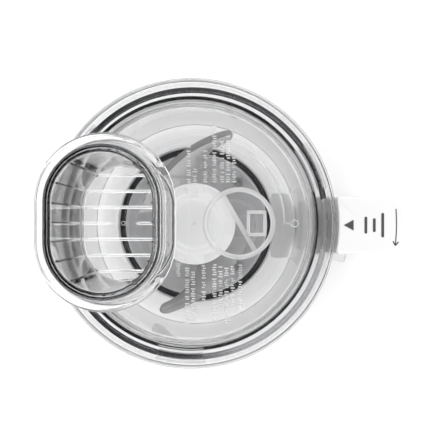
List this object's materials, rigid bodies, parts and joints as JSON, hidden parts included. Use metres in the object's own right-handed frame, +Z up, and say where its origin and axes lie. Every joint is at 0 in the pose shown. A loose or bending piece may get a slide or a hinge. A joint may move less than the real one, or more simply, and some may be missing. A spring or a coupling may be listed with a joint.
{
  "type": "food processor bowl attachment",
  "caption": "Clear round processor bowl with side handle, twist-lock lid, oval feed tube, hollow pusher and S-shaped knife on a drive spindle.",
  "frame": {"origin": "where the drive axis meets the plane the base collar stands on", "axes": "+Z up along the drive axis, +X towards the handle"},
  "size_m": [0.236, 0.19, 0.2185],
  "materials": {
    "clear_plastic": "clear polished plastic, SAN or polycarbonate",
    "black_rubber": "matt",
    "grey_plastic": "fine satin",
    "grey_metal": "satin",
    "screw_steel": "zinc plated",
    "bronze": "sintered, oiled",
    "spindle_steel": "ground",
    "white_plastic": "satin",
    "blade_steel": "satin rolled stainless steel",
    "white_gloss": "semi-gloss",
    "mark_grey": "pad print"
  },
  "bodies": {
    "bowl": {"bowl": "clear_plastic", "bowl_seal": "black_rubber", "base_collar": "grey_plastic", "base_plate": "grey_metal", "collar_screws": "screw_steel", "bush": "bronze", "shaft_seal": "black_rubber", "thrust_washer": "screw_steel", "handle_shell": "white_gloss", "handle_cover": "white_gloss", "handle_screws": "screw_steel", "handle_marks": "mark_grey", "interlock_spring": "screw_steel"},
    "spindle": {"spindle": "spindle_steel", "retaining_clip": "screw_steel", "drive_coupling": "white_plastic", "drive_dog": "white_plastic"},
    "knife": {"blade_hub": "white_plastic", "hub_cap": "white_plastic", "blade_sleeve": "white_plastic", "upper_blade": "blade_steel", "lower_blade": "blade_steel"},
    "lid": {"lid": "clear_plastic", "feed_tube": "clear_plastic", "tube_tray": "clear_plastic"},
    "pusher": {"pusher": "clear_plastic", "pusher_floor": "clear_plastic"},
    "slider": {"interlock_slider": "white_plastic"}
  },
  "joints": [
    {"name": "spindle_spin", "type": "hinge", "parent": "bowl", "child": "spindle", "pos_m": [0, 0, 0.03], "axis": [0, 0, 1], "continuous": true},
    {"name": "knife_lift", "type": "slide", "parent": "spindle", "child": "knife", "axis": [0, 0, 1], "range_m": [0, 0.025]},
    {"name": "lid_turn", "type": "hinge", "parent": "bowl", "child": "lid", "pos_m": [0, 0, 0.12], "axis": [0, 0, 1], "range_deg": [-24, 0]},
    {"name": "pusher_lift", "type": "slide", "parent": "lid", "child": "pusher", "axis": [0, 0, 1], "range_m": [0, 0.088]},
    {"name": "slider_rise", "type": "slide", "parent": "bowl", "child": "slider", "axis": [0, 0, 1], "range_m": [0, 0.004], "deforming": ["interlock_spring"]}
  ],
  "couplings": [
    {"joint": "slider_rise", "follows": "lid_turn", "m_per_rad": -0.009549}
  ]
}
